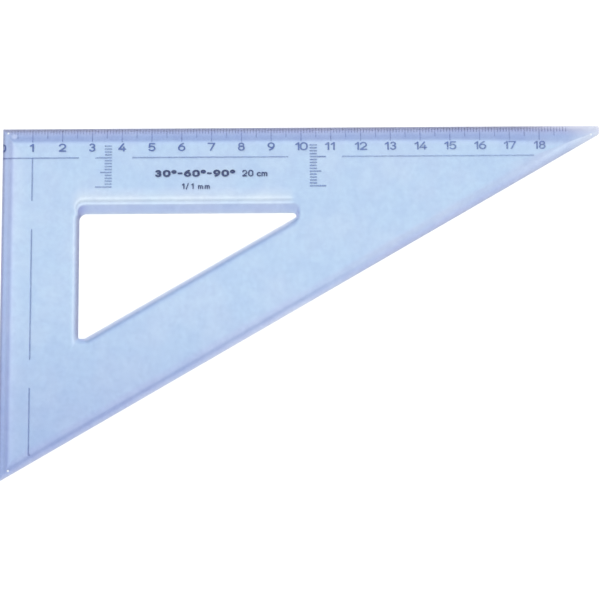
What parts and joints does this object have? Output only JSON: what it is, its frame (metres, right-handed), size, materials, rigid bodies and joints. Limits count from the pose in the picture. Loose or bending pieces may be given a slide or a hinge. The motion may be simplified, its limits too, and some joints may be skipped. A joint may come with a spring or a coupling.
{
  "type": "set square",
  "caption": "Clear blue 30/60/90 set square: bevelled triangular plate with a centimetre scale, guide lines, depth scales and a finger-lift cut-out.",
  "frame": {"origin": "the right-angle corner, on the underside plane of the plate: zero of the centimetre scale", "axes": "+X along the graduated long edge towards the 30 degree tip, -Y along the short edge towards the 60 degree corner, +Z out of the face the scale is read through"},
  "size_m": [0.2, 0.1179, 0.0028],
  "materials": {
    "clear_blue_plastic": "clear tinted, polished",
    "scale_ink": "thin printed ink, slightly translucent",
    "bold_ink": "dense printed ink"
  },
  "bodies": {
    "root": {"plate": "clear_blue_plastic", "millimetre_ticks": "scale_ink", "half_centimetre_ticks": "scale_ink", "centimetre_ticks": "scale_ink", "centimetre_numerals": "scale_ink", "long_edge_guide_line": "scale_ink", "short_edge_guide_line": "scale_ink", "left_depth_scale": "scale_ink", "right_depth_scale": "scale_ink", "angle_mark": "bold_ink", "size_mark": "bold_ink", "graduation_mark": "bold_ink"}
  },
  "joints": []
}
